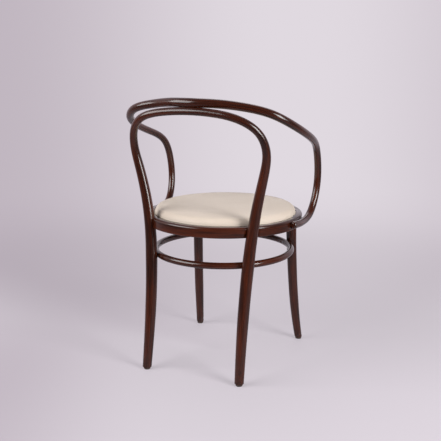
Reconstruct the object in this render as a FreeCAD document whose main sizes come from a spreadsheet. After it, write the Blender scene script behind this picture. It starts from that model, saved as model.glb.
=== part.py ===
import FreeCAD, Part
import os
from math import cos, radians, sin, sqrt

import Sketcher
from FreeCAD import Placement, Rotation, Vector

# Bentwood armchair with a round upholstered seat.
# Frame: +Z up, the sitter faces -Y and has +X on the left. The origin lies on the floor, under the middle
# of the chair's bounding box. Lengths are millimetres. "Back" and "front" are distances behind and
# before the seat ring's axis.

SIZES = (
    # the seat ring, bent to a circle, with a rabbet for the pad
    ("ring_top", 433.6, "top of the seat ring above the floor"),
    ("ring_depth", 29.5, "height of the seat ring's section"),
    ("ring_radius", 226, "outer radius of the seat ring"),
    ("ring_rounding", 3, "rounding of the seat ring's outer edges"),
    ("rabbet_wall", 18.5, "wall outside the rabbet that holds the pad, at the ring's sides"),
    ("rabbet_depth", 9, "depth of the rabbet"),
    ("ledge_width", 22, "width of the ledge under the pad"),
    ("pad_forward", 4, "pad and rabbet centre, before the ring's axis"),
    # the pad: plywood panel, foam, leather cover, cloth underneath
    ("pad_gap", 0.5, "gap between the cover and the rabbet's wall"),
    ("foam_gap", 0.3, "slack between the foam and the cover"),
    ("cover_thickness", 1.2, "leather of the cover"),
    ("panel_thickness", 7, "plywood panel"),
    ("pad_edge_width", 13, "width of the pad's rolled edge"),
    ("pad_edge_height", 16.8, "top of the rolled edge above the ring"),
    ("pad_crown", 19.7, "middle of the pad above the ring"),
    ("cover_fold", 35, "leather turned under the panel"),
    ("cloth_inset", 3.5, "bottom cloth's edge inside the ring's bore"),
    ("cloth_thickness", 0.8, "bottom cloth"),
    ("staple_inset", 4, "staples inside the bottom cloth's edge"),
    ("staple_width", 10, "crown of a staple"),
    ("staple_wire", 1, "wire of a staple"),
    ("staple_height", 6.5, "staple from crown to tips"),
    # the leg ring, a bent round rod inside the legs
    ("leg_ring_height", 324, "centre of the leg ring above the floor"),
    ("leg_ring_inset", 27.5, "leg ring's centre line inside the seat ring's outer wall"),
    ("leg_ring_rod", 9.3, "radius of the leg ring's rod"),
    ("leg_ring_back", 9.5, "leg ring's centre behind the seat ring's"),
    ("leg_ring_housing", 1, "depth to which it is let into the legs"),
    # the back hoop: both rear legs and the back in one bent rod
    ("rear_foot_splay", 38.5, "rear foot outside the seat ring's outer wall"),
    ("rear_foot_angle", 32.86, "rear foot on the floor, degrees from +Y"),
    ("rear_foot_radius", 12.9, "hoop rod at the floor"),
    ("rear_leg_radius", 16.7, "hoop rod at the leg ring"),
    ("rear_leg_angle", 41.5, "rear leg on the leg ring, degrees from +Y"),
    ("upright_radius", 15.6, "hoop rod at the seat ring"),
    ("upright_angle", 43, "upright on the seat ring, degrees from +Y"),
    ("upright_housing", 12, "depth of the seat ring's notch for the upright"),
    ("shoulder_inset", 29.3, "hoop's widest part inside the seat ring's outer wall"),
    ("crown_height", 741.2, "centre of the hoop's crown above the floor"),
    ("crown_inset", 1.2, "centre of the hoop's crown inside the seat ring's rear edge"),
    ("crown_radius", 10.7, "hoop rod at the crown"),
    # the front legs
    ("front_foot_splay", 29.4, "front foot outside the seat ring's outer wall"),
    ("front_foot_angle", 42.4, "front foot on the floor, degrees from -Y"),
    ("front_foot_radius", 11.3, "front leg at the floor"),
    ("front_leg_ring_radius", 14.9, "front leg at the leg ring"),
    ("front_leg_ring_angle", 45.3, "front leg on the leg ring, degrees from -Y"),
    ("front_leg_top_radius", 16.6, "front leg under the seat ring"),
    ("front_leg_angle", 47.5, "front leg under the seat ring, degrees from -Y"),
    ("front_leg_inset", 15, "front leg's top inside the ring's outer wall"),
    ("tenon_radius", 11, "tenon of the front leg"),
    ("tenon_length", 16.5, "tenon of the front leg"),
    # the arm bow: both arms and the top rail in one bent rod
    ("arm_radius", 10.3, "arm rod at its ends and front bends"),
    ("arm_back_radius", 12.5, "arm rod behind the sitter"),
    ("arm_end_angle", 12.1, "arm end on the seat ring, degrees behind X"),
    ("arm_end_drop", 12.7, "arm end's centre below the ring's top"),
    ("arm_parting_angle", 6, "where the arm leaves the ring, degrees forward of X"),
    ("arm_parting_drop", 16.1, "arm's centre there, below the ring's top"),
    ("arm_end_housing", 3.7, "depth of the seat ring's notch for the arm"),
    ("arm_end_rounding", 7, "rounding of the arm's end"),
    ("arm_overhang", 34, "arm bow's widest part outside the seat ring's outer wall"),
    ("arm_front_inset", 98.5, "arm's front bend behind the seat ring's front edge"),
    ("arm_back_inset", 5.8, "arm bow inside the seat ring's rear edge, over the hoop's crown"),
    ("crown_flat_depth", 0.6, "flat cut on the hoop and on the arm bow"),
    ("crown_flat_half", 60, "half of the length within which they are cut"),
    # the glides under the four feet
    ("glide_height", 6, "glide"),
    ("glide_radius", 9.6, "glide"),
    ("glide_rounding", 1.5, "glide's lower edge"),
    ("foot_rounding", 1.5, "edge of a foot"),
    ("nail_radius", 1.1, "glide nail"),
    ("nail_head_radius", 3, "glide nail"),
    ("nail_head_depth", 1, "glide nail"),
    ("nail_seat", 2, "underside of the nail head above the floor"),
    ("nail_length", 22, "glide nail"),
    # wood screws with countersunk slotted heads
    ("screw_radius", 2, "shank"),
    ("screw_head_radius", 4, "head"),
    ("screw_head_rim", 0.4, "head's cylindrical rim"),
    ("screw_head_depth", 2.8, "head, from its face to the shank"),
    ("screw_sink", 1, "head below the face of the wood"),
    ("screw_tip", 5, "pointed end"),
    ("slot_width", 1, "screwdriver slot"),
    ("slot_depth", 1.1, "screwdriver slot"),
    ("leg_ring_screw_length", 31, "through the leg ring into a leg"),
    ("arm_end_screw_length", 46, "through the seat ring into an arm end"),
    ("arm_top_screw_length", 29, "through the hoop's crown into the arm bow"),
    ("arm_top_screw_half", 22, "half the distance of the two crown screws"),
    ("panel_screw_length", 24, "through the ring's ledge into the panel"),
    ("arm_end_screw_inset", 16, "screw from the arm's end, along the ring"),
    ("arm_end_screw_drop", 16, "screw below the ring's top"),
    # hoop screws with cylindrical heads and washers
    ("hoop_screw_radius", 3, "shank"),
    ("hoop_screw_head_radius", 5, "head"),
    ("hoop_screw_head_depth", 3.5, "head"),
    ("hoop_screw_length", 46, "through the seat ring into an upright"),
    ("washer_radius", 6.5, "washer"),
    ("washer_thickness", 1.2, "washer"),
    ("hoop_screw_bore_depth", 7, "counterbore in the ring's inner wall"),
    # clearances
    ("joint_gap", 0.2, "clearance in the housings and at the flats"),
    ("tenon_gap", 0.1, "clearance round a tenon"),
    ("screw_gap", 0.1, "clearance round screws, nails and staples"),
    ("overrun", 5, "length by which a cutting tool passes the wood"),
)

# Places on the bent rods between the points that other pieces fix, as shares of the way between two
# ends: across, back and up. A radius share is the way from the second end's radius to the first's.
REAR_LEG_SHARE = (-0.175, 0.58, 0.545)
REAR_LEG_RADIUS_SHARE = 0.25
HOOP_SHARES = (
    (0.872, -0.055, 0.275, 0.69),
    (0.955, -0.006, 0.498, 0.42),
    (1, 0.138, 0.664, 0.15),
    (0.925, 0.519, 0.841, -0.05),
    (0.711, 0.904, 0.942, -0.03),
    (0.372, 0.976, 0.988, 0),
)
FRONT_LEG_SHARE = (0.58, 0.56, 0.39)
FRONT_LEG_RADIUS_SHARE = 0.34
ARM_SHARES = (
    (0.894, 0.126, 0.032, 1),
    (0.913, 0.022, 0.179, 1),
    (0.931, 0.012, 0.389, 1),
    (0.947, 0.098, 0.574, 1),
    (0.988, 0.293, 0.678, 0.95),
    (0.996, 0.522, 0.759, 0.85),
    (0.93, 0.71, 0.844, 0.7),
    (0.778, 0.828, 0.923, 0.5),
    (0.522, 0.881, 0.97, 0.35),
    (0.249, 0.956, 0.995, 0.15),
)
PAD_EDGE_SHARES = (0.15, 0.62)
SECTIONS_PER_SPAN = 4

STAPLE_COUNT = 24
PANEL_SCREW_COUNT = 4

doc = FreeCAD.newDocument("Armchair")
sheet = doc.addObject("Spreadsheet::Sheet", "Sizes")
nodes = []


class Size(float):
    """A number from the sheet, with the formula that binds an object's property to it."""

    def __new__(cls, number, formula):
        size = super().__new__(cls, number)
        size.formula = formula
        return size

    def joined(self, sign, other, number):
        """The size that comes of a sum or a product with another size or a plain share."""
        return Size(number, f"({self.formula} {sign} {getattr(other, 'formula', other)})")

    def __add__(self, other):
        return self.joined("+", other, float(self) + float(other))

    def __sub__(self, other):
        return self.joined("-", other, float(self) - float(other))

    def __mul__(self, other):
        return self.joined("*", other, float(self) * float(other))

    def __truediv__(self, other):
        return self.joined("/", other, float(self) / float(other))

    def root(self):
        """The square root."""
        return Size(sqrt(self), f"sqrt({self.formula})")


class Sizes:
    """The sheet's cells as attributes."""

    def __init__(self):
        for row, (name, number, meaning) in enumerate(SIZES, start=1):
            sheet.set(f"A{row}", name)
            sheet.set(f"B{row}", str(number))
            sheet.setAlias(f"B{row}", name)
            sheet.set(f"C{row}", meaning)
        doc.recompute()
        for name, _, _ in SIZES:
            setattr(self, name, Size(float(sheet.get(name)), f"Sizes.{name}"))


mm = Sizes()
NOTHING = mm.ring_top * 0

# The pieces keep to the seat ring: its radius sets the pad, the leg ring, the feet, the hoop and the arms.
rabbet_radius = mm.ring_radius - mm.rabbet_wall
ring_bore = rabbet_radius - mm.ledge_width
cloth_radius = ring_bore - mm.cloth_inset
leg_ring_radius = mm.ring_radius - mm.leg_ring_inset
rear_foot_reach = mm.ring_radius + mm.rear_foot_splay
front_foot_reach = mm.ring_radius + mm.front_foot_splay
shoulder_half_width = mm.ring_radius - mm.shoulder_inset
crown_back = mm.ring_radius - mm.crown_inset
arm_half_width = mm.ring_radius + mm.arm_overhang
arm_front = mm.ring_radius - mm.arm_front_inset
arm_back = mm.ring_radius - mm.arm_back_inset

# The chair reaches from the ring's front edge to the hoop's crown, and the origin is midway.
seat_axis_y = (mm.ring_radius - crown_back - mm.crown_radius) / 2


def at(across, back, height):
    """A point given by its distance behind the seat ring's axis."""
    return Vector(across, back + seat_axis_y, height)


def polar(side, angle, radius, height, back=0):
    """A point at an angle from +Y, on the side +1 (left) or -1 (right)."""
    turn = radians(angle)
    return at(side * radius * sin(turn), back + radius * cos(turn), height)


def between(start, end, shares):
    """The point that lies the given shares of the way from start to end."""
    across, back, up = shares[:3]
    way = end - start
    return start + Vector(way.x * across, way.y * back, way.z * up)


def mirrored(points):
    """The points, followed by their mirror images across the middle plane."""
    return points + [Vector(-p.x, p.y, p.z) for p in reversed(points[:-1])]


# Generic builders


def bind(target, **sizes):
    """Binds properties of an object to the sheet."""
    for name, size in sizes.items():
        target.setExpression(name, size.formula)


def origin_plane(body, role):
    """One of the body's own origin planes."""
    return next(f for f in body.Origin.OriginFeatures if f.Role == role)


def pin_point(sketch, geometry, end, point):
    """Fixes one end of a piece of sketch geometry at a point whose two sizes are bound."""
    for kind, size in zip(("DistanceX", "DistanceY"), point):
        number = sketch.addConstraint(Sketcher.Constraint(kind, -1, 1, geometry, end, float(size)))
        sketch.setExpression(f"Constraints[{number}]", size.formula)


def outline(body, points):
    """A closed outline in the body's XZ plane. A point that holds a pair is the middle of an arc."""
    sketch = body.newObject("Sketcher::SketchObject", f"{body.Name}_outline")
    sketch.AttachmentSupport = (origin_plane(body, "XZ_Plane"), "")
    sketch.MapMode = "FlatFace"
    corners = [p for p in points if not isinstance(p[0], tuple)]
    ends = []
    for number, point in enumerate(points):
        if isinstance(point[0], tuple):
            continue
        follower = points[(number + 1) % len(points)]
        middle = follower[0] if isinstance(follower[0], tuple) else None
        after = corners[(corners.index(point) + 1) % len(corners)]
        start, stop = Vector(*point, 0), Vector(*after, 0)
        if middle:
            piece = sketch.addGeometry(Part.Arc(start, Vector(*middle, 0), stop))
            via = sketch.addGeometry(Part.Point(Vector(*middle, 0)), True)
            pin_point(sketch, via, 1, middle)
            sketch.addConstraint(Sketcher.Constraint("PointOnObject", via, 1, piece))
        else:
            piece = sketch.addGeometry(Part.LineSegment(start, stop))
        away = [sketch.getPoint(piece, end).distanceToPoint(start) for end in (1, 2)]
        ends.append((piece, (1, 2) if away[0] < away[1] else (2, 1), point))
    for number, (piece, (head, _), point) in enumerate(ends):
        before, (_, tail), _ = ends[number - 1]
        sketch.addConstraint(Sketcher.Constraint("Coincident", before, tail, piece, head))
        pin_point(sketch, piece, head, point)
    return sketch


def turned(label, points):
    """A body turned about the Z axis from an outline of (radius, height) sizes."""
    body = doc.addObject("PartDesign::Body", label)
    sketch = outline(body, points)
    turning = body.newObject("PartDesign::Revolution", f"{label}_turning")
    turning.Profile = sketch
    turning.ReferenceAxis = (sketch, ["V_Axis"])
    turning.Angle = 360
    sketch.Visibility = False
    doc.recompute()
    return body


def solid_feature(label, shape):
    """An object that holds a shape made by formula."""
    feature = doc.addObject("Part::Feature", label)
    feature.Shape = shape
    return feature


def copies(label, unit, placements):
    """One object of several placed copies of a unit."""
    shapes = []
    for placement in placements:
        shape = unit.Shape.copy()
        shape.Placement = placement.multiply(shape.Placement)
        shapes.append(shape)
    return solid_feature(label, Part.makeCompound(shapes))


def cut(label, base, *tools):
    """The base with each tool taken away in turn."""
    for number, tool in enumerate(tools, start=1):
        result = doc.addObject("Part::Cut", label if tool is tools[-1] else f"{label}_cut_{number}")
        result.Base = base
        result.Tool = tool
        doc.recompute()
        base = result
    return base


def node(piece, label):
    """Lists an object as a sub-part under its label."""
    piece.Label = label
    nodes.append(piece)
    return piece


def aimed(point, direction, turn=Rotation()):
    """A placement whose local Z runs along a direction."""
    return Placement(point, Rotation(Vector(0, 0, 1), direction).multiply(turn))


def round_the_pad(count, radius, height, turn=0):
    """Placements spread evenly on a circle about the pad's axis, with local X along the circle."""
    for number in range(count):
        angle = turn + 360 * number / count
        offset = Rotation(Vector(0, 0, 1), angle).multVec(Vector(0, -radius, 0))
        yield Placement(at(0, -mm.pad_forward, height) + offset, Rotation(Vector(0, 0, 1), angle))


# Poles and weights of a unit circle as a closed curve of four arcs.
CIRCLE = [(1, 0, 1), (1, 1, sqrt(0.5)), (0, 1, 1), (-1, 1, sqrt(0.5)), (-1, 0, 1),
          (-1, -1, sqrt(0.5)), (0, -1, 1), (1, -1, sqrt(0.5)), (1, 0, 1)]


class Rod:
    """A round rod bent along a smooth curve through points, with a radius at each of them."""

    def __init__(self, points, radii, level_ends):
        self.level_ends = level_ends
        self.curve = Part.BSplineCurve()
        self.curve.interpolate(Points=points)
        knots = self.curve.getKnots()
        self.stations = []
        for start, stop, first, last in zip(knots, knots[1:], radii, radii[1:]):
            for step in range(SECTIONS_PER_SPAN):
                share = step / SECTIONS_PER_SPAN
                self.stations.append((start + (stop - start) * share, first + (last - first) * share))
        self.stations.append((knots[-1], radii[-1]))

    def solid(self, extra=0, keep=None):
        """The rod, thicker by extra, over the stretch of stations whose points pass the test keep."""
        stations = [s for s in self.stations if keep is None or keep(self.curve.value(s[0]))]
        side = Vector(1, 0, 0)
        rows = []
        for place, radius in stations:
            along = self.curve.tangent(place)[0]
            if self.level_ends and place in (self.stations[0][0], self.stations[-1][0]):
                along = Vector(0, 0, 1 if along.z > 0 else -1)
            side = (side - along * side.dot(along)).normalize()
            up = along.cross(side)
            middle = self.curve.value(place)
            rows.append([middle + (side * a + up * b) * (radius + extra) for a, b, _ in CIRCLE])
        columns = []
        for number in range(len(CIRCLE)):
            column = Part.BSplineCurve()
            column.interpolate(Points=[row[number] for row in rows], Parameters=[s[0] for s in stations])
            columns.append(column)
        first = columns[0]
        surface = Part.BSplineSurface()
        surface.buildFromPolesMultsKnots(
            [column.getPoles() for column in columns], [3, 2, 2, 2, 3], first.getMultiplicities(),
            [0, 1, 2, 3, 4], first.getKnots(), False, False, 2, first.Degree,
            [[weight] * first.NbPoles for _, _, weight in CIRCLE])
        side_face = surface.toShape()
        seams = (rows[0][0], rows[-1][0])
        ends = [e for e in side_face.Edges if e.isClosed() and e.Vertexes[0].Point in seams]
        shell = Part.makeShell([side_face] + [Part.Face(Part.Wire(e)) for e in ends])
        shell.sewShape()
        solid = Part.Solid(shell)
        if solid.Volume < 0:
            solid.reverse()
        return solid


def end_edges(solid):
    """The edges of a rod's flat ends."""
    flats = [f for f in solid.Faces if isinstance(f.Surface, Part.Plane)]
    return [edge for face in flats for edge in face.Edges]


# Where the pieces meet

ring_bottom = mm.ring_top - mm.ring_depth
ledge_top = mm.ring_top - mm.rabbet_depth
ring_middle = mm.ring_top - mm.ring_depth / 2
SIDES = (("left", 1), ("right", -1))


def upright_at_ring(side):
    """Centre of the hoop's upright in the seat ring's notch."""
    reach = mm.ring_radius + mm.upright_radius - mm.upright_housing
    return polar(side, mm.upright_angle, reach, ring_middle)


def leg_at_leg_ring(side, angle, leg_radius):
    """Centre of a leg that the leg ring is let into."""
    reach = leg_ring_radius + mm.leg_ring_rod + leg_radius - mm.leg_ring_housing
    return polar(side, angle, reach, mm.leg_ring_height, mm.leg_ring_back)


def rear_foot(side, height):
    """The middle of a rear foot, at a height."""
    return polar(side, mm.rear_foot_angle, rear_foot_reach, height)


def front_foot(side, height):
    """The middle of a front foot, at a height."""
    return polar(side, 180 - mm.front_foot_angle, front_foot_reach, height)


def front_leg_top(side):
    """Centre of a front leg where it meets the underside of the seat ring."""
    return polar(side, 180 - mm.front_leg_angle, mm.ring_radius - mm.front_leg_inset, ring_bottom)


def arm_on_ring(angle, drop):
    """Centre of the left arm in the seat ring's notch, at an angle forward of X."""
    reach = mm.ring_radius + mm.arm_radius - mm.arm_end_housing
    return polar(1, 90 + angle, reach, mm.ring_top - drop)


def arm_contacts():
    """The left arm's end, the middle of its stretch along the ring and where it leaves the ring."""
    angles = (-mm.arm_end_angle, mm.arm_parting_angle)
    drops = (mm.arm_end_drop, mm.arm_parting_drop)
    middle = arm_on_ring(sum(angles) / 2, sum(drops) / 2)
    return [arm_on_ring(angles[0], drops[0]), middle, arm_on_ring(angles[1], drops[1])]


hoop_crown = at(0, crown_back, mm.crown_height)
crown_distance = mm.crown_radius + mm.arm_back_radius - mm.crown_flat_depth * 2 + mm.joint_gap
arm_crown_rise = sqrt(crown_distance ** 2 - (arm_back - crown_back) ** 2)
arm_crown = at(0, arm_back, mm.crown_height + arm_crown_rise)
crown_normal = (arm_crown - hoop_crown).normalize()


def hoop_rod():
    """The hoop's rod, from the left foot over the crown to the right foot."""
    foot = rear_foot(1, mm.glide_height)
    at_leg_ring = leg_at_leg_ring(1, mm.rear_leg_angle, mm.rear_leg_radius)
    at_ring = upright_at_ring(1)
    shoulder = Vector(shoulder_half_width, at_ring.y, at_ring.z)
    points = [foot, between(foot, at_leg_ring, REAR_LEG_SHARE), at_leg_ring, at_ring]
    low_radius = mm.rear_leg_radius + (mm.rear_foot_radius - mm.rear_leg_radius) * REAR_LEG_RADIUS_SHARE
    radii = [mm.rear_foot_radius, low_radius, mm.rear_leg_radius, mm.upright_radius]
    for across, back, up, thick in HOOP_SHARES:
        points.append(between(hoop_crown, shoulder, (across, 1 - back, 1 - up)))
        radii.append(mm.crown_radius + (mm.upright_radius - mm.crown_radius) * thick)
    points.append(hoop_crown)
    radii.append(mm.crown_radius)
    return Rod(mirrored(points), radii + radii[-2::-1], level_ends=True)


def arm_rod():
    """The arm bow's rod, from the left end over the back to the right end."""
    points = arm_contacts()
    radii = [mm.arm_radius] * len(points)
    widest = at(arm_half_width, -arm_front, points[-1].z)
    for across, back, up, thin in ARM_SHARES:
        points.append(between(arm_crown, widest, (across, 1 - back, 1 - up)))
        radii.append(mm.arm_back_radius + (mm.arm_radius - mm.arm_back_radius) * thin)
    points.append(arm_crown)
    radii.append(mm.arm_back_radius)
    return Rod(mirrored(points), radii + radii[-2::-1], level_ends=False)


def front_leg_rod(side):
    """A front leg's rod, from the foot to the underside of the seat ring."""
    foot = front_foot(side, mm.glide_height)
    at_leg_ring = leg_at_leg_ring(side, 180 - mm.front_leg_ring_angle, mm.front_leg_ring_radius)
    points = [foot, between(foot, at_leg_ring, FRONT_LEG_SHARE), at_leg_ring, front_leg_top(side)]
    thinning = (mm.front_foot_radius - mm.front_leg_ring_radius) * FRONT_LEG_RADIUS_SHARE
    radii = [mm.front_foot_radius, mm.front_leg_ring_radius + thinning, mm.front_leg_ring_radius,
             mm.front_leg_top_radius]
    return Rod(points, radii, level_ends=True)


hoop = hoop_rod()
arm = arm_rod()


# Fasteners


def screw(label, length, shank, head, rim, depth):
    """A wood screw along +Z with its slotted head's face at the origin."""
    blank = turned(f"{label}_blank", [
        (NOTHING, NOTHING), (head, NOTHING), (head, rim), (shank, depth),
        (shank, length - mm.screw_tip), (NOTHING, length)])
    slot = doc.addObject("Part::Box", f"{label}_slot")
    bind(slot, Length=head * 2, Width=mm.slot_width, Height=mm.slot_depth)
    slot.Placement.Base = Vector(-head, -mm.slot_width / 2, 0)
    return cut(label, blank, slot)


def screw_hole(label, length, shank, head, rim, depth):
    """The hole for a screw, open past the head's face: the screw's origin lies one overrun up."""
    gap = mm.screw_gap
    return turned(label, [
        (NOTHING, NOTHING), (head + gap, NOTHING), (head + gap, mm.overrun + rim),
        (shank + gap, mm.overrun + depth), (shank + gap, mm.overrun + length - mm.screw_tip + gap),
        (NOTHING, mm.overrun + length + gap)])


def screw_and_hole(label, length):
    """A countersunk screw of a given length and its hole."""
    sizes = (mm.screw_radius, mm.screw_head_radius, mm.screw_head_rim, mm.screw_head_depth)
    return screw(label, length, *sizes), screw_hole(f"{label}_hole", length, *sizes)


def backed(placements):
    """The placements drawn back by one overrun, for the holes of the screws placed so."""
    return [p.multiply(Placement(Vector(0, 0, -mm.overrun), Rotation())) for p in placements]


def radial(point, back=0):
    """The level direction from the seat ring's axis, or one behind it, towards a point."""
    centre = at(0, back, point.z)
    return (point - centre).normalize()


def leg_ring_screw_places():
    """From inside the leg ring into each leg."""
    legs = [leg_at_leg_ring(side, angle, radius) for _, side in SIDES for angle, radius in
            ((mm.rear_leg_angle, mm.rear_leg_radius),
             (180 - mm.front_leg_ring_angle, mm.front_leg_ring_radius))]
    face = leg_ring_radius - mm.leg_ring_rod + mm.screw_sink
    for leg in legs:
        out = radial(leg, mm.leg_ring_back)
        yield aimed(at(0, mm.leg_ring_back, mm.leg_ring_height) + out * face, out)


def bore_face(out, height):
    """Where a level line from the seat ring's axis meets the ring's inner wall."""
    centre = Vector(0, mm.pad_forward, 0)
    along = centre.dot(out)
    reach = -along + sqrt(ring_bore ** 2 - centre.dot(centre) + along ** 2)
    return at(0, 0, height) + out * reach


def hoop_screw_places():
    """From the washers in the seat ring's counterbores into each upright."""
    height = (ring_bottom + ledge_top) / 2
    for _, side in SIDES:
        out = radial(upright_at_ring(side))
        sunk = mm.hoop_screw_bore_depth - mm.washer_thickness - mm.hoop_screw_head_depth
        yield aimed(bore_face(out, height) + out * sunk, out)


def washer_places():
    """Each washer lies on the floor of its counterbore."""
    for place in hoop_screw_places():
        yield place.multiply(Placement(Vector(0, 0, mm.hoop_screw_head_depth), Rotation()))


def arm_end_screw_places():
    """From the seat ring's inner wall into each arm end."""
    end = arm_contacts()[0]
    height = mm.ring_top - mm.arm_end_screw_drop
    for _, side in SIDES:
        out = radial(Vector(side * end.x, end.y - mm.arm_end_screw_inset, height))
        yield aimed(bore_face(out, height) + out * mm.screw_sink, out)


def arm_top_screw_places():
    """Upwards through the hoop's crown into the arm bow."""
    face = mm.crown_radius - mm.screw_sink
    for _, side in SIDES:
        foot = hoop_crown + Vector(side * mm.arm_top_screw_half, 0, 0) - crown_normal * face
        yield aimed(foot, crown_normal)


def panel_screw_places():
    """Upwards through the ring's ledge into the plywood panel."""
    middle = ring_bore + mm.ledge_width / 2
    return round_the_pad(PANEL_SCREW_COUNT, middle, ring_bottom + mm.screw_sink)


# The wooden pieces


def closed_circles(shape, radius):
    """Names of the edges of a shape that are circles of a radius."""
    found = []
    for number, edge in enumerate(shape.Edges, start=1):
        if isinstance(edge.Curve, Part.Circle) and abs(edge.Curve.Radius - radius) < mm.screw_gap:
            found.append(f"Edge{number}")
    return found


def circle_sketch(body, name, radius, forward=None, height=None):
    """A circle in a level plane of the body, its centre forward of the body's axis."""
    sketch = body.newObject("Sketcher::SketchObject", name)
    sketch.AttachmentSupport = (origin_plane(body, "XY_Plane"), "")
    sketch.MapMode = "FlatFace"
    if height is not None:
        bind(sketch, **{".AttachmentOffset.Base.z": height})
    if forward is not None:
        bind(sketch, **{".AttachmentOffset.Base.y": forward * -1})
    circle = sketch.addGeometry(Part.Circle(Vector(0, 0, 0), Vector(0, 0, 1), radius))
    sketch.addConstraint(Sketcher.Constraint("Coincident", circle, 3, -1, 1))
    number = sketch.addConstraint(Sketcher.Constraint("Radius", circle, float(radius)))
    sketch.setExpression(f"Constraints[{number}]", radius.formula)
    sketch.Visibility = False
    return sketch


def pocket(body, name, sketch, depth):
    """A pocket cut upwards from its sketch. It has to take volume away."""
    before = body.Shape.Volume
    cutting = body.newObject("PartDesign::Pocket", name)
    cutting.Profile = sketch
    cutting.Reversed = True
    bind(cutting, Length=depth)
    doc.recompute()
    if body.Shape.Volume >= before:
        raise RuntimeError(f"{name} cuts nothing")
    return cutting


def seat_ring_blank():
    """The ring with its bore, rabbet and rounded outer edges."""
    body = doc.addObject("PartDesign::Body", "seat_ring_blank")
    disc = body.newObject("PartDesign::Pad", "ring_disc")
    disc.Profile = circle_sketch(body, "ring_outside", mm.ring_radius)
    bind(disc, Length=mm.ring_depth)
    doc.recompute()
    bore_circle = circle_sketch(body, "bore_circle", ring_bore, mm.pad_forward)
    pocket(body, "ring_bore", bore_circle, mm.ring_depth)
    rabbet_circle = circle_sketch(body, "rabbet_circle", rabbet_radius, mm.pad_forward,
                                  mm.ring_depth - mm.rabbet_depth)
    rabbet = pocket(body, "ring_rabbet", rabbet_circle, mm.rabbet_depth)
    rounding = body.newObject("PartDesign::Fillet", "ring_rounding")
    rounding.Base = (rabbet, closed_circles(rabbet.Shape, mm.ring_radius))
    bind(rounding, Radius=mm.ring_rounding)
    body.Placement.Base = at(0, 0, ring_bottom)
    doc.recompute()
    return body


def both_sides(label, shape):
    """A cutting tool on the left and its mirror image on the right."""
    image = shape.mirror(Vector(0, 0, 0), Vector(1, 0, 0))
    return solid_feature(label, Part.makeCompound([shape, image]))


def upright_notches():
    """The uprights' shape where they pass the seat ring, with the joint's clearance."""
    reach = mm.ring_depth * 2

    def passes_ring(point):
        return point.x > 0 and ring_bottom - reach < point.z < mm.ring_top + reach

    return both_sides("upright_notches", hoop.solid(mm.joint_gap, passes_ring))


def arm_notches():
    """The arm ends' shape beside the seat ring, with the joint's clearance."""
    low = mm.ring_top + mm.ring_depth

    def beside_ring(point):
        return point.x > 0 and point.z < low

    return both_sides("arm_notches", arm.solid(mm.joint_gap, beside_ring))


def tenon_places():
    """The middle of each front leg's top."""
    for _, side in SIDES:
        yield Placement(front_leg_top(side), Rotation())


def cylinder(label, radius, height, placement=Placement()):
    """A bound cylinder."""
    piece = doc.addObject("Part::Cylinder", label)
    bind(piece, Radius=radius, Height=height)
    piece.Placement = placement
    doc.recompute()
    return piece


def foot_places():
    """The four feet, where the glides sit: a name and a place on the floor."""
    for name, side in SIDES:
        yield f"front_{name}", Placement(front_foot(side, 0), Rotation())
        yield f"rear_{name}", Placement(rear_foot(side, 0), Rotation())


def crown_flat(label, middle, radius, normal):
    """A box that takes the flat off a rod at the crown, on the side that the normal shows."""
    box = doc.addObject("Part::Box", label)
    bind(box, Length=mm.crown_flat_half * 2, Width=radius * 4, Height=radius)
    turn = Rotation(Vector(0, 0, 1), normal)
    corner = Vector(-mm.crown_flat_half, -radius * 2, radius - mm.crown_flat_depth)
    box.Placement = Placement(middle + turn.multVec(corner), turn)
    return box


leg_ring_screw, leg_ring_screw_hole = screw_and_hole("leg_ring_screw", mm.leg_ring_screw_length)
arm_end_screw, arm_end_screw_hole = screw_and_hole("arm_end_screw", mm.arm_end_screw_length)
arm_top_screw, arm_top_screw_hole = screw_and_hole("arm_top_screw", mm.arm_top_screw_length)
panel_screw, panel_screw_hole = screw_and_hole("panel_screw", mm.panel_screw_length)
hoop_screw_sizes = (mm.hoop_screw_length, mm.hoop_screw_radius, mm.hoop_screw_head_radius,
                    mm.hoop_screw_head_depth, mm.hoop_screw_head_depth)
hoop_screw = screw("hoop_screw", *hoop_screw_sizes)
hoop_screw_seat = mm.hoop_screw_head_depth + mm.washer_thickness
hoop_screw_hole = screw_hole("hoop_screw_hole", mm.hoop_screw_length, mm.hoop_screw_radius,
                             mm.washer_radius, hoop_screw_seat, hoop_screw_seat)
washer = turned("washer", [
    (mm.hoop_screw_radius + mm.screw_gap, NOTHING), (mm.washer_radius, NOTHING),
    (mm.washer_radius, mm.washer_thickness), (mm.hoop_screw_radius + mm.screw_gap, mm.washer_thickness)])
nail_hole = cylinder("nail_hole", mm.nail_radius + mm.screw_gap,
                     mm.nail_seat + mm.nail_length + mm.screw_gap)

leg_ring_holes = copies("leg_ring_holes", leg_ring_screw_hole, backed(leg_ring_screw_places()))
hoop_holes = copies("hoop_holes", hoop_screw_hole, backed(hoop_screw_places()))
arm_end_holes = copies("arm_end_holes", arm_end_screw_hole, backed(arm_end_screw_places()))
arm_top_holes = copies("arm_top_holes", arm_top_screw_hole, backed(arm_top_screw_places()))
panel_holes = copies("panel_holes", panel_screw_hole, backed(panel_screw_places()))
nail_holes = copies("nail_holes", nail_hole, [place for _, place in foot_places()])

leg_ring_housing = doc.addObject("Part::Torus", "leg_ring_housing")
bind(leg_ring_housing, Radius1=leg_ring_radius, Radius2=mm.leg_ring_rod + mm.joint_gap)
leg_ring_housing.Placement.Base = at(0, mm.leg_ring_back, mm.leg_ring_height)
leg_ring_blank = doc.addObject("Part::Torus", "leg_ring_blank")
bind(leg_ring_blank, Radius1=leg_ring_radius, Radius2=mm.leg_ring_rod)
leg_ring_blank.Placement.Base = leg_ring_housing.Placement.Base
doc.recompute()
node(cut("leg_ring", leg_ring_blank, leg_ring_holes), "leg_ring")

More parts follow.
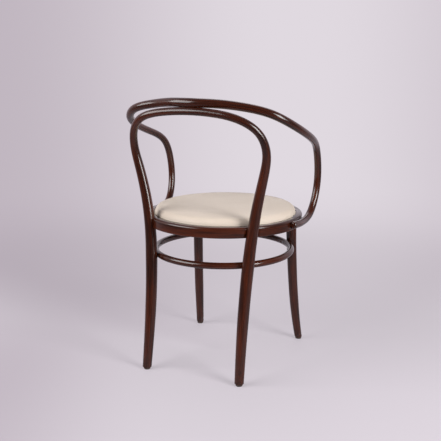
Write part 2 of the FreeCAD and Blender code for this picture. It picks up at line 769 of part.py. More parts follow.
mortise = cylinder("mortise", mm.tenon_radius + mm.tenon_gap, mm.tenon_length + mm.tenon_gap)
mortises = copies("mortises", mortise, tenon_places())
node(cut("seat_ring", seat_ring_blank(), upright_notches(), arm_notches(), mortises, hoop_holes,
         arm_end_holes, panel_holes), "seat_ring")


def rounded_feet(solid):
    """A rod with the edge of each foot rounded."""
    feet = [e for e in end_edges(solid) if e.BoundBox.ZMax < mm.glide_height + mm.overrun]
    return solid.makeFillet(mm.foot_rounding, feet)


hoop_blank = solid_feature("hoop_blank", rounded_feet(hoop.solid()))
node(cut("back_hoop", hoop_blank, crown_flat("hoop_flat", hoop_crown, mm.crown_radius, crown_normal),
         leg_ring_housing, leg_ring_holes, hoop_holes, arm_top_holes, nail_holes), "back_hoop")

arm_solid = arm.solid()
arm_blank = solid_feature("arm_blank", arm_solid.makeFillet(mm.arm_end_rounding, end_edges(arm_solid)))
node(cut("arm_bow", arm_blank, crown_flat("arm_flat", arm_crown, mm.arm_back_radius, -crown_normal),
         arm_end_holes, arm_top_holes), "arm_bow")


def front_leg(name, side, place):
    """A front leg with its tenon, let on to the leg ring."""
    blank = solid_feature(f"front_leg_{name}_blank", rounded_feet(front_leg_rod(side).solid()))
    root = Placement(place.Base - Vector(0, 0, mm.overrun), Rotation())
    tenon = cylinder(f"tenon_{name}", mm.tenon_radius, mm.tenon_length + mm.overrun, root)
    whole = doc.addObject("Part::Fuse", f"front_leg_{name}_whole")
    whole.Base, whole.Tool = blank, tenon
    doc.recompute()
    return cut(f"front_leg_{name}", whole, leg_ring_housing, leg_ring_holes, nail_holes)


for (name, side), place in zip(SIDES, tenon_places()):
    node(front_leg(name, side, place), f"front_leg_{name}")


# The pad

cover_radius = rabbet_radius - mm.pad_gap
panel_bottom = ledge_top + mm.cover_thickness
panel_top = panel_bottom + mm.panel_thickness
pad_place = Placement(at(0, -mm.pad_forward, 0), Rotation())


def cap_fall(radius, rise):
    """How far a spherical cap has fallen halfway to its rim."""
    ball = (radius * radius + rise * rise) / (rise * 2)
    return ball - (ball * ball - radius * radius / 4).root()


def pad_top(inset):
    """The pad's crowned top and rolled edge, from the middle outwards, drawn in by an inset."""
    across, up = PAD_EDGE_SHARES
    edge = cover_radius - mm.pad_edge_width
    rise = mm.pad_crown - mm.pad_edge_height
    return [
        (NOTHING, mm.ring_top + mm.pad_crown - inset),
        ((edge / 2, mm.ring_top + mm.pad_crown - cap_fall(edge, rise) - inset),),
        (edge, mm.ring_top + mm.pad_edge_height - inset),
        ((cover_radius - mm.pad_edge_width * across - inset * up,
          mm.ring_top + mm.pad_edge_height * up - inset * up),),
        (cover_radius - inset, mm.ring_top),
    ]


def on_pad(body):
    """The body, moved to the pad's axis."""
    body.Placement = pad_place
    return body


fold_radius = cover_radius - mm.cover_fold
inner_top = pad_top(mm.cover_thickness)
cover_blank = on_pad(turned("cover_blank", pad_top(NOTHING) + [
    (cover_radius, ledge_top), (fold_radius, ledge_top), (fold_radius, panel_bottom),
    (cover_radius - mm.cover_thickness, panel_bottom)] + inner_top[::-1]))
foam_inset = mm.cover_thickness + mm.foam_gap
node(on_pad(turned("seat_foam", pad_top(foam_inset) + [
    (cover_radius - foam_inset, panel_top), (NOTHING, panel_top)])), "seat_foam")
panel_radius = cover_radius - foam_inset
panel_blank = on_pad(turned("panel_blank", [
    (NOTHING, panel_bottom), (panel_radius, panel_bottom), (panel_radius, panel_top),
    (NOTHING, panel_top)]))
cloth_bottom = ledge_top - mm.cloth_thickness
cloth_blank = on_pad(turned("cloth_blank", [
    (NOTHING, cloth_bottom), (cloth_radius, cloth_bottom), (cloth_radius, ledge_top),
    (NOTHING, ledge_top)]))


def staple(label, slack):
    """A staple with its crown down, its corner at the origin, or its slots if it has slack."""
    body = doc.addObject("PartDesign::Body", label)
    wire = mm.staple_wire + slack * 2
    width = mm.staple_width + slack * 2
    height = mm.staple_height + slack * 2
    sketch = outline(body, [
        (NOTHING, NOTHING), (width, NOTHING), (width, height), (width - wire, height),
        (width - wire, wire), (wire, wire), (wire, height), (NOTHING, height)])
    pad = body.newObject("PartDesign::Pad", f"{label}_wire")
    pad.Profile = sketch
    bind(pad, Length=wire)
    doc.recompute()
    return body


def staple_places(slack):
    """Staples on a circle in the bottom cloth's edge, their crowns against the cloth."""
    corner = Vector(-mm.staple_width / 2 - slack, mm.staple_wire / 2 + slack, -mm.staple_wire - slack)
    for place in round_the_pad(STAPLE_COUNT, cloth_radius - mm.staple_inset, cloth_bottom,
                               turn=180 / STAPLE_COUNT):
        yield place.multiply(Placement(corner, Rotation()))


staple_slots = copies("staple_slots", staple("staple_slot", mm.screw_gap), staple_places(mm.screw_gap))
node(cut("seat_cover", cover_blank, staple_slots, panel_holes), "seat_cover")
node(cut("seat_panel", panel_blank, staple_slots, panel_holes), "seat_panel")
node(cut("bottom_cloth", cloth_blank, staple_slots), "bottom_cloth")


# Glides, nails, screws, washers and staples

nail_head_top = mm.nail_seat + mm.nail_head_depth
nail = turned("nail", [
    (NOTHING, mm.nail_seat), (mm.nail_head_radius, mm.nail_seat), (mm.nail_head_radius, nail_head_top),
    (mm.nail_radius, nail_head_top), (mm.nail_radius, mm.nail_seat + mm.nail_length - mm.nail_radius * 2),
    (NOTHING, mm.nail_seat + mm.nail_length)])
glide = turned("glide", [
    (NOTHING, NOTHING), (mm.glide_radius - mm.glide_rounding, NOTHING),
    (mm.glide_radius, mm.glide_rounding), (mm.glide_radius, mm.glide_height),
    (mm.nail_radius + mm.screw_gap, mm.glide_height),
    (mm.nail_radius + mm.screw_gap, nail_head_top + mm.screw_gap),
    (mm.nail_head_radius + mm.screw_gap, nail_head_top + mm.screw_gap),
    (mm.nail_head_radius + mm.screw_gap, mm.nail_seat - mm.screw_gap),
    (NOTHING, mm.nail_seat - mm.screw_gap)])
for name, place in foot_places():
    node(copies(f"glide_{name}", glide, [place]), f"glide_{name}")
node(copies("glide_nails", nail, [place for _, place in foot_places()]), "glide_nails")
node(copies("leg_ring_screws", leg_ring_screw, leg_ring_screw_places()), "leg_ring_screws")
node(copies("arm_end_screws", arm_end_screw, arm_end_screw_places()), "arm_end_screws")
node(copies("arm_top_screws", arm_top_screw, arm_top_screw_places()), "arm_top_screws")
node(copies("panel_screws", panel_screw, panel_screw_places()), "panel_screws")
node(copies("hoop_screws", hoop_screw, hoop_screw_places()), "hoop_screws")
node(copies("hoop_screw_washers", washer, washer_places()), "hoop_screw_washers")
node(copies("cover_staples", staple("staple", NOTHING), staple_places(0)), "cover_staples")


def check():
    """Stops if anything in the document failed or a sub-part has no sound shape."""
    doc.recompute()
    for thing in doc.Objects:
        if {"Invalid", "Error"} & set(thing.State):
            raise RuntimeError(f"{thing.Name} failed: {thing.State}")
    for piece in nodes:
        if piece.Shape.isNull() or not piece.Shape.isValid():
            raise RuntimeError(f"{piece.Label} has no sound shape")


check()
os.makedirs("parts", exist_ok=True)
for piece in nodes:
    piece.Shape.exportStep(f"parts/{piece.Label}.step")
    print(piece.Label, len(piece.Shape.Solids), "solid(s)", round(piece.Shape.Volume), "mm3")
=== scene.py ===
import heapq
import math

import bmesh
import bpy
import numpy as np
from bpy.props import FloatProperty, FloatVectorProperty, IntProperty, PointerProperty
from mathutils import Matrix, Vector


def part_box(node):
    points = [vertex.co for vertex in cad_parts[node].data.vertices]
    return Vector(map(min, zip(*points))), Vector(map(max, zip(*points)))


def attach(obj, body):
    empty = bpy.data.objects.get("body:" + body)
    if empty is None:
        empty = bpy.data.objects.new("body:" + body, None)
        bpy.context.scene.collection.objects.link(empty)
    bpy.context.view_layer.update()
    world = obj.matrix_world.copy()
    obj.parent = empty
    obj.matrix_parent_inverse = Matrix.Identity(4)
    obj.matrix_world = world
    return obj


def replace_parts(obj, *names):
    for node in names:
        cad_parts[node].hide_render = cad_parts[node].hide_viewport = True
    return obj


bl_info = {
    "name": "Bentwood armchair",
    "version": (1, 0, 0),
    "blender": (4, 5, 0),
    "location": "View3D > Sidebar > Armchair",
    "description": "Dresses a bentwood armchair with a round leather pad in stained wood, leather and steel",
    "category": "Object",
}

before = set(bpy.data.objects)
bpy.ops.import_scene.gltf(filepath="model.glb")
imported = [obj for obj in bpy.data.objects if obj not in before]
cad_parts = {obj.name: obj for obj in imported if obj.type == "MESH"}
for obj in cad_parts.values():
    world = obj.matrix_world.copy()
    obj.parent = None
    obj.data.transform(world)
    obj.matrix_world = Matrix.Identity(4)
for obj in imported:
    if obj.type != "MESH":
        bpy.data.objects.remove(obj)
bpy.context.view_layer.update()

COVER_LOW, COVER_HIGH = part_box("seat_cover")
RING_LOW, RING_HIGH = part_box("seat_ring")
CLOTH_LOW, CLOTH_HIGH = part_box("bottom_cloth")
PANEL_LOW, PANEL_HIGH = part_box("seat_panel")

# The radius of the ring's upper outer edge in its solid, and the number of staples round the pad
SOLID_EDGE = 0.003
STAPLES = 24

# The least length that anything is divided by
TINY = 1e-9

# Level directions in the studio: to the camera's left, ahead of it, back to it, and to the lit background
LEFT_WAY = (0.911, 0.412, 0)
AHEAD_WAY = (0.412, -0.911, 0)
NEAR_WAY = (-0.412, 0.911, 0)
LIT_WAY = (0.40, -0.91, 0)


# Settings


def colour(name, description, default):
    """A colour setting."""
    return FloatVectorProperty(name=name, description=description, subtype="COLOR", size=3, min=0, max=1,
                               default=default)


def length(name, description, default):
    """A length setting in metres."""
    return FloatProperty(name=name, description=description, default=default, min=0, unit="LENGTH",
                         precision=4)


class WoodSettings(bpy.types.PropertyGroup):
    """Stain and lacquer of the bent wood."""

    dark: colour("Dark stain", "Stain in the dense late wood", (0.010, 0.0026, 0.0014))
    light: colour("Light stain", "Stain in the early wood", (0.081, 0.0146, 0.0038))
    fleck: colour("Fleck", "Short rays of the beech", (0.010, 0.003, 0.002))
    worn: colour("Worn", "Wood rubbed bare of its stain at the feet", (0.20, 0.10, 0.055))
    streak: length("Streak", "Width of a grain streak", 0.0024)
    edge: length("Rounded edge", "Radius of the seat ring's upper outer edge", 0.006)


class PadSettings(bpy.types.PropertyGroup):
    """The round pad: leather, foam and bottom cloth."""

    leather: colour("Leather", "Colour of the leather", (0.70, 0.60, 0.505))
    # This colour paints shade into the grain lines' creases and also darkens the leather's random tone and
    # spots.
    shaded: colour("Leather creases", "Colour in the leather's grain lines", (0.53, 0.44, 0.35))
    leather_thickness: length("Leather thickness", "Thickness of the cover", 0.0012)
    fold_width: length("Fold", "Leather turned under the panel", 0.035)
    roll_width: length("Rolled edge", "Width of the pad's rolled edge", 0.018)
    rise: length("Rise", "Middle of the pad above its solid, before it is filled", 0.0016)
    crown: length("Crown", "Middle of the pad above its rolled edge, before it is filled", 0.0012)
    slack: length("Slack", "How much smaller the pad is before it is filled", 0.0012)
    swell: length("Swell", "The most that filling may move the cover", 0.0032)
    tuck: length("Tuck", "How far the cover is drawn in where it enters the ring", 0.0005)
    voxel: length("Mesh size", "Spacing of the cover's mesh for the simulation", 0.005)
    frames: IntProperty(name="Frames", description="Simulated frames", default=20, min=2, max=60)


class StageSettings(bpy.types.PropertyGroup):
    """Floor, background, lamps and camera."""

    background: colour("Background", "Colour behind the chair", (0.745, 0.693, 0.745))
    shaded: colour("Shaded background", "Colour of the background's darker side", (0.530, 0.470, 0.527))
    floor: colour("Floor", "Colour of the floor", (0.53, 0.485, 0.525))
    lens: FloatProperty(name="Lens", description="Focal length in mm on the sensor", default=66.07, min=10)


# Meshes


def new_piece(name, mesh, material):
    """An object of the chair that rides on its one body."""
    piece = bpy.data.objects.new(name, mesh)
    bpy.context.scene.collection.objects.link(piece)
    mesh.materials.clear()
    mesh.materials.append(material)
    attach(piece, "root")
    return piece


def coordinates(mesh, kind="co"):
    """The vertices' places, or their normals, as an array."""
    flat = np.zeros(len(mesh.vertices) * 3)
    mesh.vertices.foreach_get(kind, flat)
    return flat.reshape(-1, 3)


def edge_ends(mesh):
    """The numbers of the two vertices of each edge."""
    flat = np.zeros(len(mesh.edges) * 2, int)
    mesh.edges.foreach_get("vertices", flat)
    return flat.reshape(-1, 2)


def from_axis(places, middle):
    """Each place's level way from an upright axis, and its distance from it."""
    level = places[:, :2] - np.array(middle[:2])
    return level, np.linalg.norm(level, axis=1)


def place_vertices(mesh, places):
    """Moves the vertices to new places."""
    mesh.vertices.foreach_set("co", places.astype(np.float32).ravel())
    mesh.update()


def node_copy(node, name, sharp=math.radians(32)):
    """A copy of a CAD node's mesh with its faces joined along their shared edges."""
    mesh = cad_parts[node].data.copy()
    mesh.name = name
    work = bmesh.new()
    work.from_mesh(mesh)
    bmesh.ops.remove_doubles(work, verts=work.verts, dist=1e-6)
    work.to_mesh(mesh)
    work.free()
    if mesh.has_custom_normals:
        mesh.normals_split_custom_set([(0, 0, 0)] * len(mesh.loops))
    mesh.polygons.foreach_set("use_smooth", [True] * len(mesh.polygons))
    mesh.set_sharp_from_angle(angle=sharp)
    return mesh


def along_the_mesh(mesh, places, start):
    """The shortest way along the mesh's edges from the vertex next to a start point."""
    ends = edge_ends(mesh)
    spans = np.linalg.norm(places[ends[:, 0]] - places[ends[:, 1]], axis=1)
    neighbours = [[] for _ in places]
    for (a, b), span in zip(ends.tolist(), spans.tolist()):
        neighbours[a].append((b, span))
        neighbours[b].append((a, span))
    first = int(np.argmin(np.linalg.norm(places - np.array(start), axis=1)))
    ways = np.full(len(places), np.inf)
    ways[first] = 0
    queue = [(0.0, first)]
    while queue:
        way, vertex = heapq.heappop(queue)
        if way > ways[vertex]:
            continue
        for other, span in neighbours[vertex]:
            if way + span < ways[other]:
                ways[other] = way + span
                heapq.heappush(queue, (way + span, other))
    return ways


def centre_line(places, ways, step, fewest=6, smoothing=3):
    """The middles of a rod's sections, one for each step along it, made smooth."""
    reached = np.isfinite(ways)
    bins = (ways[reached] / step).astype(int)
    kept = places[reached]
    middles = []
    for number in range(bins.max() + 1):
        section = kept[bins == number]
        if len(section) >= fewest:
            middles.append((section.min(0) + section.max(0)) / 2)
    line = np.array(middles)
    for _ in range(smoothing):
        line[1:-1] = (line[:-2] + 2 * line[1:-1] + line[2:]) / 4
    return line


class RodLine:
    """A bent rod's centre line with a direction along it and one across it at each of its points."""

    section_half = 0.007
    fewest = 8
    spread_share = 0.12
    largest_shift = 0.002
    batch = 2000

    def __init__(self, line):
        self.line = line
        self.passed = np.r_[0, np.cumsum(np.linalg.norm(np.diff(line, axis=0), axis=1))]
        self.tangents = np.gradient(line, self.passed, axis=0)
        self.tangents /= np.linalg.norm(self.tangents, axis=1)[:, None]
        self.sides = np.zeros_like(line)
        side = np.array([1.0, 0.0, 0.0])
        for number, tangent in enumerate(self.tangents):
            side = side - tangent * side.dot(tangent)
            side /= np.linalg.norm(side)
            self.sides[number] = side
        self.ups = np.cross(self.tangents, self.sides)

    def at(self, values, ways):
        """Points or directions at distances along the line."""
        return np.stack([np.interp(ways, self.passed, values[:, axis]) for axis in range(3)], axis=1)

    def place(self, places):
        """Each place as the way along the line, the two distances across it, and the way outward."""
        nearest = np.zeros(len(places), int)
        for first in range(0, len(places), self.batch):
            part = slice(first, first + self.batch)
            nearest[part] = np.linalg.norm(places[part, None] - self.line[None], axis=2).argmin(1)
        ways = self.passed[nearest] + ((places - self.line[nearest]) * self.tangents[nearest]).sum(1)
        ahead, side, up = (self.at(values, ways) for values in (self.tangents, self.sides, self.ups))
        offsets = places - self.at(self.line, ways)
        offsets -= ahead * (offsets * ahead).sum(1)[:, None]
        return ways, np.c_[(offsets * side).sum(1), (offsets * up).sum(1)], offsets

    def centred(self, places):
        """A truer line: each point moved to the middle of the circle that the rod's section makes there."""
        ways, across, _ = self.place(places)
        shifts = np.full((len(self.line), 2), np.nan)
        for number, way in enumerate(self.passed):
            section = across[abs(ways - way) < self.section_half]
            if len(section) < self.fewest:
                continue
            reach = np.hypot(*section.T)
            section = section[abs(reach - np.median(reach)) < self.spread_share * np.median(reach)]
            if len(section) < self.fewest:
                continue
            known = np.c_[2 * section, np.ones(len(section))]
            found = np.linalg.lstsq(known, (section ** 2).sum(1), rcond=None)[0][:2]
            if np.hypot(*found) < self.largest_shift:
                shifts[number] = found
        good = ~np.isnan(shifts[:, 0])
        for axis in range(2):
            shifts[:, axis] = np.interp(self.passed, self.passed[good], shifts[good, axis])
        line = self.line + self.sides * shifts[:, :1] + self.ups * shifts[:, 1:]
        line[1:-1] = (line[:-2] + 4 * line[1:-1] + line[2:]) / 6
        return RodLine(line)


def put_grain(mesh, start, step=0.009, facing=0.9):
    """Writes each vertex's place across and along a bent rod to the attribute grain, and shades it round.

    It is shaded round only where the normal is within the angle of cosine facing from straight outwards.
    """
    places = coordinates(mesh)
    rod = RodLine(centre_line(places, along_the_mesh(mesh, places, start), step))
    rod = rod.centred(places).centred(places)
    ways, across, offsets = rod.place(places)
    attribute = mesh.attributes.new("grain", "FLOAT_VECTOR", "POINT")
    attribute.data.foreach_set("vector", np.c_[across, ways].astype(np.float32).ravel())
    outward = offsets / np.maximum(np.linalg.norm(offsets, axis=1), TINY)[:, None]
    round_side = (outward * coordinates(mesh, "normal")).sum(1) > facing
    mesh.normals_split_custom_set_from_vertices((outward * round_side[:, None]).tolist())


def lathe(name, profile, centre, steps):
    """A mesh turned about an upright axis from (radius, height) points. Points on the axis close it."""
    work = bmesh.new()
    turns = [2 * math.pi * step / steps for step in range(steps)]
    rows = []
    for radius, height in profile:
        if radius < 1e-6:
            rows.append([work.verts.new((centre.x, centre.y, height))])
            continue
        rows.append([work.verts.new((centre.x + radius * math.cos(a), centre.y + radius * math.sin(a),
                                     height)) for a in turns])
    for lower, upper in zip(rows, rows[1:]):
        for step in range(steps):
            corners = [lower[step % len(lower)], lower[(step + 1) % len(lower)],
                       upper[(step + 1) % len(upper)], upper[step % len(upper)]]
            work.faces.new(list(dict.fromkeys(corners)))
    bmesh.ops.recalc_face_normals(work, faces=work.faces)
    mesh = bpy.data.meshes.new(name)
    work.to_mesh(mesh)
    work.free()
    mesh.polygons.foreach_set("use_smooth", [True] * len(mesh.polygons))
    return mesh


def with_modifier(piece, kind, **settings):
    """Adds a modifier to a piece, applies it and leaves the resulting mesh on the piece."""
    modifier = piece.modifiers.new(kind.lower(), kind)
    for name, value in settings.items():
        setattr(modifier, name, value)
    bpy.context.view_layer.update()
    result = bpy.data.meshes.new_from_object(piece.evaluated_get(bpy.context.evaluated_depsgraph_get()))
    piece.modifiers.remove(modifier)
    piece.data = result


# Materials


class Nodes:
    """A node tree under construction."""

    def __init__(self, tree):
        self.tree = tree

    def add(self, kind, inputs=None, **properties):
        """A node with its properties, and its inputs as values or sockets."""
        made = self.tree.nodes.new(kind)
        for name, value in properties.items():
            setattr(made, name, value)
        for key, value in (inputs or {}).items():
            self.put(made, key, value)
        return made

    def put(self, node, key, value):
        """Sets a node's input to a value, or joins a socket to it."""
        if isinstance(value, bpy.types.NodeSocket):
            self.tree.links.new(value, node.inputs[key])
        else:
            node.inputs[key].default_value = value

    def math(self, operation, *values, clamp=False):
        """A number made from numbers."""
        made = self.add("ShaderNodeMath", dict(enumerate(values)), operation=operation, use_clamp=clamp)
        return made.outputs[0]

    def vector(self, operation, *values):
        """A vector made from vectors, or a number where the operation gives one."""
        made = self.add("ShaderNodeVectorMath", dict(enumerate(values)), operation=operation)
        return made.outputs["Value" if operation in ("DOT_PRODUCT", "LENGTH") else "Vector"]

    def object_place(self):
        """The place on the piece, in metres."""
        return self.add("ShaderNodeTexCoord").outputs["Object"]

    def noise(self, place, scale=1.0, detail=3.0, roughness=0.5, distortion=0.0):
        """Fractal noise from 0 to 1 at a place."""
        made = self.add("ShaderNodeTexNoise", {"Vector": place, "Scale": scale, "Detail": detail,
                                               "Roughness": roughness, "Distortion": distortion})
        return made.outputs["Fac"]

    def cells(self, place, scale, feature="F1"):
        """The distance to the point, or to the edge, of the cell around a place."""
        made = self.add("ShaderNodeTexVoronoi", {"Vector": place, "Scale": scale}, feature=feature)
        return made.outputs["Distance"]

    def span(self, value, low, high, to_low=0.0, to_high=1.0):
        """A value's range mapped smoothly to another."""
        return self.add("ShaderNodeMapRange", {"Value": value, "From Min": low, "From Max": high,
                                               "To Min": to_low, "To Max": to_high},
                        interpolation_type="SMOOTHSTEP").outputs["Result"]

    def mix(self, share, first, second, blend="MIX"):
        """A mix of two colours."""
        inputs = {0: share, 6: first, 7: second}
        return self.add("ShaderNodeMix", inputs, data_type="RGBA", blend_type=blend).outputs[2]

    def group(self, name, inputs):
        """A shared shader group placed with its own values."""
        return self.add("ShaderNodeGroup", inputs, node_tree=shared_group(name))


def rgba(values):
    """A colour setting as the four numbers of a socket."""
    return (*values, 1.0)


def shader_group(name, inputs, outputs):
    """An empty shader group with its sockets. Each input is a name, a kind and a default."""
    tree = bpy.data.node_groups.new(name, "ShaderNodeTree")
    for label, kind, default in inputs:
        socket = tree.interface.new_socket(label, in_out="INPUT", socket_type=f"NodeSocket{kind}")
        if default is not None:
            socket.default_value = default
    for label, kind in outputs:
        tree.interface.new_socket(label, in_out="OUTPUT", socket_type=f"NodeSocket{kind}")
    nodes = Nodes(tree)
    return tree, nodes, nodes.add("NodeGroupInput").outputs, nodes.add("NodeGroupOutput")


def wood_grain_group():
    """Straight grain with streaks, a slow change of tone and the short rays of beech."""
    tree, nodes, given, out = shader_group(
        "wood grain",
        [("Place", "Vector", None), ("Dark", "Color", (0.02, 0.01, 0.01, 1)),
         ("Light", "Color", (0.1, 0.04, 0.02, 1)), ("Fleck", "Color", (0.02, 0.01, 0.01, 1)),
         ("Streak width", "Float", 0.0024), ("Fleck share", "Float", 0.5)],
        [("Color", "Color"), ("Height", "Float")])
    wide = nodes.math("DIVIDE", 1.0, given["Streak width"])
    scaled = nodes.add("ShaderNodeVectorMath", {0: given["Place"], 3: wide}, operation="SCALE").outputs[0]

    def drawn_out(across, along, **noise):
        """Noise drawn out along the grain, by how fast it changes across the grain and along it."""
        return nodes.noise(nodes.vector("MULTIPLY", scaled, (across, across, along)), **noise)

    streak = drawn_out(1, 0.022, detail=4, roughness=0.62, distortion=0.35)
    fine = drawn_out(4.6, 0.09, detail=2, roughness=0.6)
    slow = drawn_out(0.09, 0.011, detail=2)
    ray = drawn_out(3.4, 0.55, detail=1)
    tone = nodes.math("ADD", nodes.math("MULTIPLY", streak, 0.55), nodes.math("MULTIPLY", fine, 0.2))
    tone = nodes.math("ADD", tone, nodes.math("MULTIPLY", slow, 0.45))
    mixed = nodes.mix(nodes.span(tone, 0.42, 0.80), given["Dark"], given["Light"])
    flecks = nodes.math("MULTIPLY", nodes.span(ray, 0.60, 0.70), given["Fleck share"])
    nodes.put(out, "Color", nodes.mix(flecks, mixed, given["Fleck"]))
    height = nodes.math("SUBTRACT", nodes.math("MULTIPLY", fine, 0.5), nodes.math("MULTIPLY", flecks, 0.5))
    nodes.put(out, "Height", height)
    return tree


def lacquer_group():
    """Satin lacquer: its roughness, with rubbed and dusty places, and its slight orange peel."""
    tree, nodes, given, out = shader_group(
        "satin lacquer",
        [("Place", "Vector", None), ("Roughness", "Float", 0.34), ("Change", "Float", 0.1)],
        [("Roughness", "Float"), ("Height", "Float")])
    rubbed = nodes.noise(given["Place"], scale=19, detail=3)
    dusty = nodes.noise(given["Place"], scale=240, detail=2)
    dust = nodes.math("MULTIPLY", nodes.math("SUBTRACT", dusty, 0.5), 0.5)
    change = nodes.math("ADD", nodes.math("SUBTRACT", rubbed, 0.5), dust)
    level = nodes.math("ADD", given["Roughness"], nodes.math("MULTIPLY", change, given["Change"]))
    nodes.put(out, "Roughness", level)
    nodes.put(out, "Height", nodes.noise(given["Place"], scale=420, detail=2))
    return tree


def foot_wear_group():
    """A mask of scuffs that fades upwards from the floor."""
    tree, nodes, given, out = shader_group(
        "foot wear", [("Place", "Vector", None), ("Reach", "Float", 0.03)], [("Mask", "Float")])
    height = nodes.add("ShaderNodeSeparateXYZ", {0: given["Place"]}).outputs["Z"]
    low = nodes.math("SUBTRACT", 1.0, nodes.math("DIVIDE", height, given["Reach"]), clamp=True)
    scuffs = nodes.span(nodes.noise(given["Place"], scale=210, detail=4, roughness=0.7), 0.52, 0.68)
    nodes.put(out, "Mask", nodes.math("MULTIPLY", scuffs, low))
    return tree


def ring_place_group():
    """The place across and along a ring bent about an upright axis."""
    tree, nodes, given, out = shader_group(
        "ring place", [("Place", "Vector", None), ("Axis", "Vector", (0, 0, 0)), ("Radius", "Float", 0.2)],
        [("Place", "Vector")])
    level = nodes.add("ShaderNodeSeparateXYZ", {0: nodes.vector("SUBTRACT", given["Place"], given["Axis"])})
    x, y, z = level.outputs
    turn = nodes.math("ARCTAN2", x, y)
    reach = nodes.math("SQRT", nodes.math("ADD", nodes.math("MULTIPLY", x, x), nodes.math("MULTIPLY", y, y)))
    along = nodes.math("MULTIPLY", turn, given["Radius"])
    nodes.put(out, "Place", nodes.add("ShaderNodeCombineXYZ", {0: reach, 1: z, 2: along}).outputs[0])
    return tree


def backdrop_group():
    """The background's colour towards a direction: lightest near the picture's middle, with painted shade
    beside it.
    """
    tree, nodes, given, out = shader_group(
        "backdrop",
        [("Way", "Vector", None), ("Light", "Color", (0.7, 0.7, 0.7, 1)),
         ("Dark", "Color", (0.5, 0.5, 0.5, 1))],
        [("Color", "Color")])
    lightest = -0.09
    aside = nodes.math("SUBTRACT", nodes.vector("DOT_PRODUCT", given["Way"], LEFT_WAY), lightest)
    straight = nodes.vector("NORMALIZE", given["Way"])
    ahead = nodes.span(nodes.vector("DOT_PRODUCT", straight, AHEAD_WAY), 0.3, 0.75)
    share = nodes.math("MULTIPLY", nodes.span(nodes.math("ABSOLUTE", aside), 0.02, 0.37), ahead)
    nodes.put(out, "Color", nodes.mix(share, given["Light"], given["Dark"]))
    return tree


GROUP_MAKERS = {
    "backdrop": backdrop_group,
    "wood grain": wood_grain_group,
    "satin lacquer": lacquer_group,
    "foot wear": foot_wear_group,
    "ring place": ring_place_group,
}


def shared_group(name):
    """A shader group, built once."""
    return bpy.data.node_groups.get(name) or GROUP_MAKERS[name]()


def new_material(name):
    """A material with a Principled BSDF. Returns the material, its nodes and the shader."""
    material = bpy.data.materials.new(name)
    material.use_nodes = True
    nodes = Nodes(material.node_tree)
    return material, nodes, material.node_tree.nodes["Principled BSDF"]


def surface(nodes, shader, base, rough, height, strength, distance):
    """Joins a colour, a roughness and the bump that a height makes to a shader."""
    bump = nodes.add("ShaderNodeBump", {"Height": height, "Strength": strength, "Distance": distance})
    nodes.put(shader, "Base Color", base)
    nodes.put(shader, "Roughness", rough)
    nodes.put(shader, "Normal", bump.outputs[0])


def stained_wood(name, ring=None):
    """Bent beech, stained walnut brown and lacquered. A ring is given by its axis and radius."""
    wood = bpy.context.scene.chair_wood
    material, nodes, shader = new_material(name)
    place = nodes.object_place()
    if ring:
        axis, radius = ring
        along = nodes.group("ring place", {"Place": place, "Axis": axis, "Radius": radius})
        grain_place = along.outputs["Place"]
    else:
        grain_place = nodes.add("ShaderNodeAttribute", attribute_name="grain").outputs["Vector"]
    grain = nodes.group("wood grain", {
        "Place": grain_place, "Dark": rgba(wood.dark), "Light": rgba(wood.light), "Fleck": rgba(wood.fleck),
        "Streak width": wood.streak, "Fleck share": 0.6})
    lacquer = nodes.group("satin lacquer", {"Place": place, "Roughness": 0.36, "Change": 0.14})
    worn = nodes.group("foot wear", {"Place": place, "Reach": 0.022})
    bare = nodes.math("MULTIPLY", worn.outputs["Mask"], 0.5)
    base = nodes.mix(bare, grain.outputs["Color"], rgba(wood.worn))
    height = nodes.math("ADD", nodes.math("MULTIPLY", grain.outputs["Height"], 0.7),
                        nodes.math("MULTIPLY", lacquer.outputs["Height"], 0.3))
    surface(nodes, shader, base, lacquer.outputs["Roughness"], height, strength=0.25, distance=0.0003)
    nodes.put(shader, "Coat Weight", 1.0)
    nodes.put(shader, "Coat Roughness", 0.17)
    nodes.put(shader, "Specular IOR Level", 0.1)
    return material


def cream_leather():
    """Smooth cream leather with a fine grain."""
    pad = bpy.context.scene.chair_pad
    material, nodes, shader = new_material("cream_leather")
    place = nodes.object_place()
    warp = 0.0012
    moved = nodes.add("ShaderNodeTexNoise", {"Vector": place, "Scale": 300.0, "Detail": 2.0})
    moved = nodes.vector("MULTIPLY", moved.outputs["Color"], (warp, warp, warp))
    lines = nodes.span(nodes.cells(nodes.vector("ADD", place, moved), 850.0, "DISTANCE_TO_EDGE"), 0.0, 0.22)
    tone = nodes.noise(place, scale=9, detail=3)
    spots = nodes.noise(place, scale=95, detail=4, roughness=0.65)
    ground = nodes.mix(nodes.span(tone, 0.3, 0.75, 0.0, 0.25), rgba(pad.leather), rgba(pad.shaded))
    ground = nodes.mix(nodes.span(spots, 0.5, 0.8, 0.0, 0.14), ground, rgba(pad.shaded))
    # Painted shade: the leather is darker in the creases of its grain lines.
    creases = nodes.math("MULTIPLY", nodes.math("SUBTRACT", 1.0, lines), 0.35)
    base = nodes.mix(creases, ground, rgba(pad.shaded))
    rough = nodes.math("ADD", 0.44, nodes.math("MULTIPLY", tone, 0.16))
    height = nodes.math("ADD", lines, nodes.math("MULTIPLY", spots, 0.6))
    surface(nodes, shader, base, rough, height, strength=0.35, distance=0.0002)
    nodes.put(shader, "Specular IOR Level", 0.42)
    nodes.put(shader, "Sheen Weight", 0.06)
    return material


